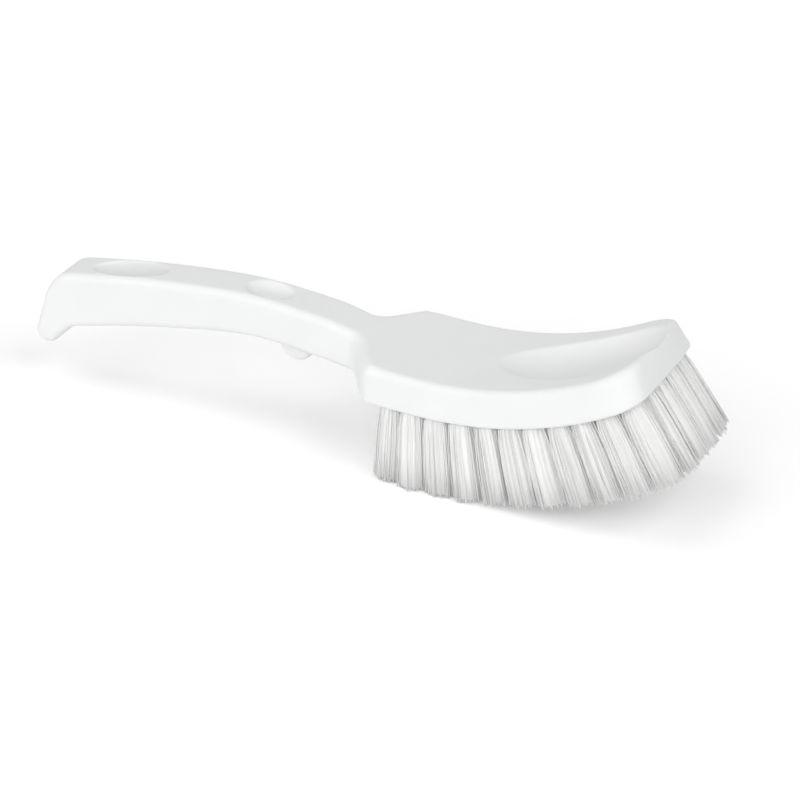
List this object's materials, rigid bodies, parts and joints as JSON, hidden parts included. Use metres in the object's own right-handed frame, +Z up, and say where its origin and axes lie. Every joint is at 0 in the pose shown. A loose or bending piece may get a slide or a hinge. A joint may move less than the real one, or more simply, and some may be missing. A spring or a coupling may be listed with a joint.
{
  "type": "short-handled scrub brush",
  "caption": "White short-handled scrub brush: one-piece curved head and arched handle with hook and hanging hole, rocker-shaped sole set with tufts of stiff filament on anchors.",
  "frame": {"origin": "middle of the brush's own box in X and Y, on the surface that the bristle tips stand on", "axes": "+X along the brush from the hook at the handle end to the toe of the head, +Y across, +Z up"},
  "size_m": [0.275, 0.0668, 0.0661],
  "materials": {
    "body_plastic": "satin",
    "filament": "satin",
    "anchor_steel": "satin"
  },
  "bodies": {
    "root": {"brush_block": "body_plastic", "bristles_outer": "filament", "bristles_middle": "filament", "bristles_centre": "filament", "anchor_outer_01": "anchor_steel", "anchor_outer_02": "anchor_steel", "anchor_outer_03": "anchor_steel", "anchor_outer_04": "anchor_steel", "anchor_outer_05": "anchor_steel", "anchor_outer_06": "anchor_steel", "anchor_outer_07": "anchor_steel", "anchor_outer_08": "anchor_steel", "anchor_outer_09": "anchor_steel", "anchor_outer_10": "anchor_steel", "anchor_outer_11": "anchor_steel", "anchor_outer_12": "anchor_steel", "anchor_outer_13": "anchor_steel", "anchor_outer_14": "anchor_steel", "anchor_outer_15": "anchor_steel", "anchor_outer_16": "anchor_steel", "anchor_outer_17": "anchor_steel", "anchor_outer_18": "anchor_steel", "anchor_outer_19": "anchor_steel", "anchor_outer_20": "anchor_steel", "anchor_outer_21": "anchor_steel", "anchor_outer_22": "anchor_steel", "anchor_outer_23": "anchor_steel", "anchor_outer_24": "anchor_steel", "anchor_outer_25": "anchor_steel", "anchor_outer_26": "anchor_steel", "anchor_outer_27": "anchor_steel", "anchor_outer_28": "anchor_steel", "anchor_outer_29": "anchor_steel", "anchor_outer_30": "anchor_steel", "anchor_middle_01": "anchor_steel", "anchor_middle_02": "anchor_steel", "anchor_middle_03": "anchor_steel", "anchor_middle_04": "anchor_steel", "anchor_middle_05": "anchor_steel", "anchor_middle_06": "anchor_steel", "anchor_middle_07": "anchor_steel", "anchor_middle_08": "anchor_steel", "anchor_middle_09": "anchor_steel", "anchor_middle_10": "anchor_steel", "anchor_middle_11": "anchor_steel", "anchor_middle_12": "anchor_steel", "anchor_middle_13": "anchor_steel", "anchor_middle_14": "anchor_steel", "anchor_middle_15": "anchor_steel", "anchor_middle_16": "anchor_steel", "anchor_middle_17": "anchor_steel", "anchor_middle_18": "anchor_steel", "anchor_centre_01": "anchor_steel", "anchor_centre_02": "anchor_steel", "anchor_centre_03": "anchor_steel", "anchor_centre_04": "anchor_steel", "anchor_centre_05": "anchor_steel", "anchor_centre_06": "anchor_steel"}
  },
  "joints": []
}
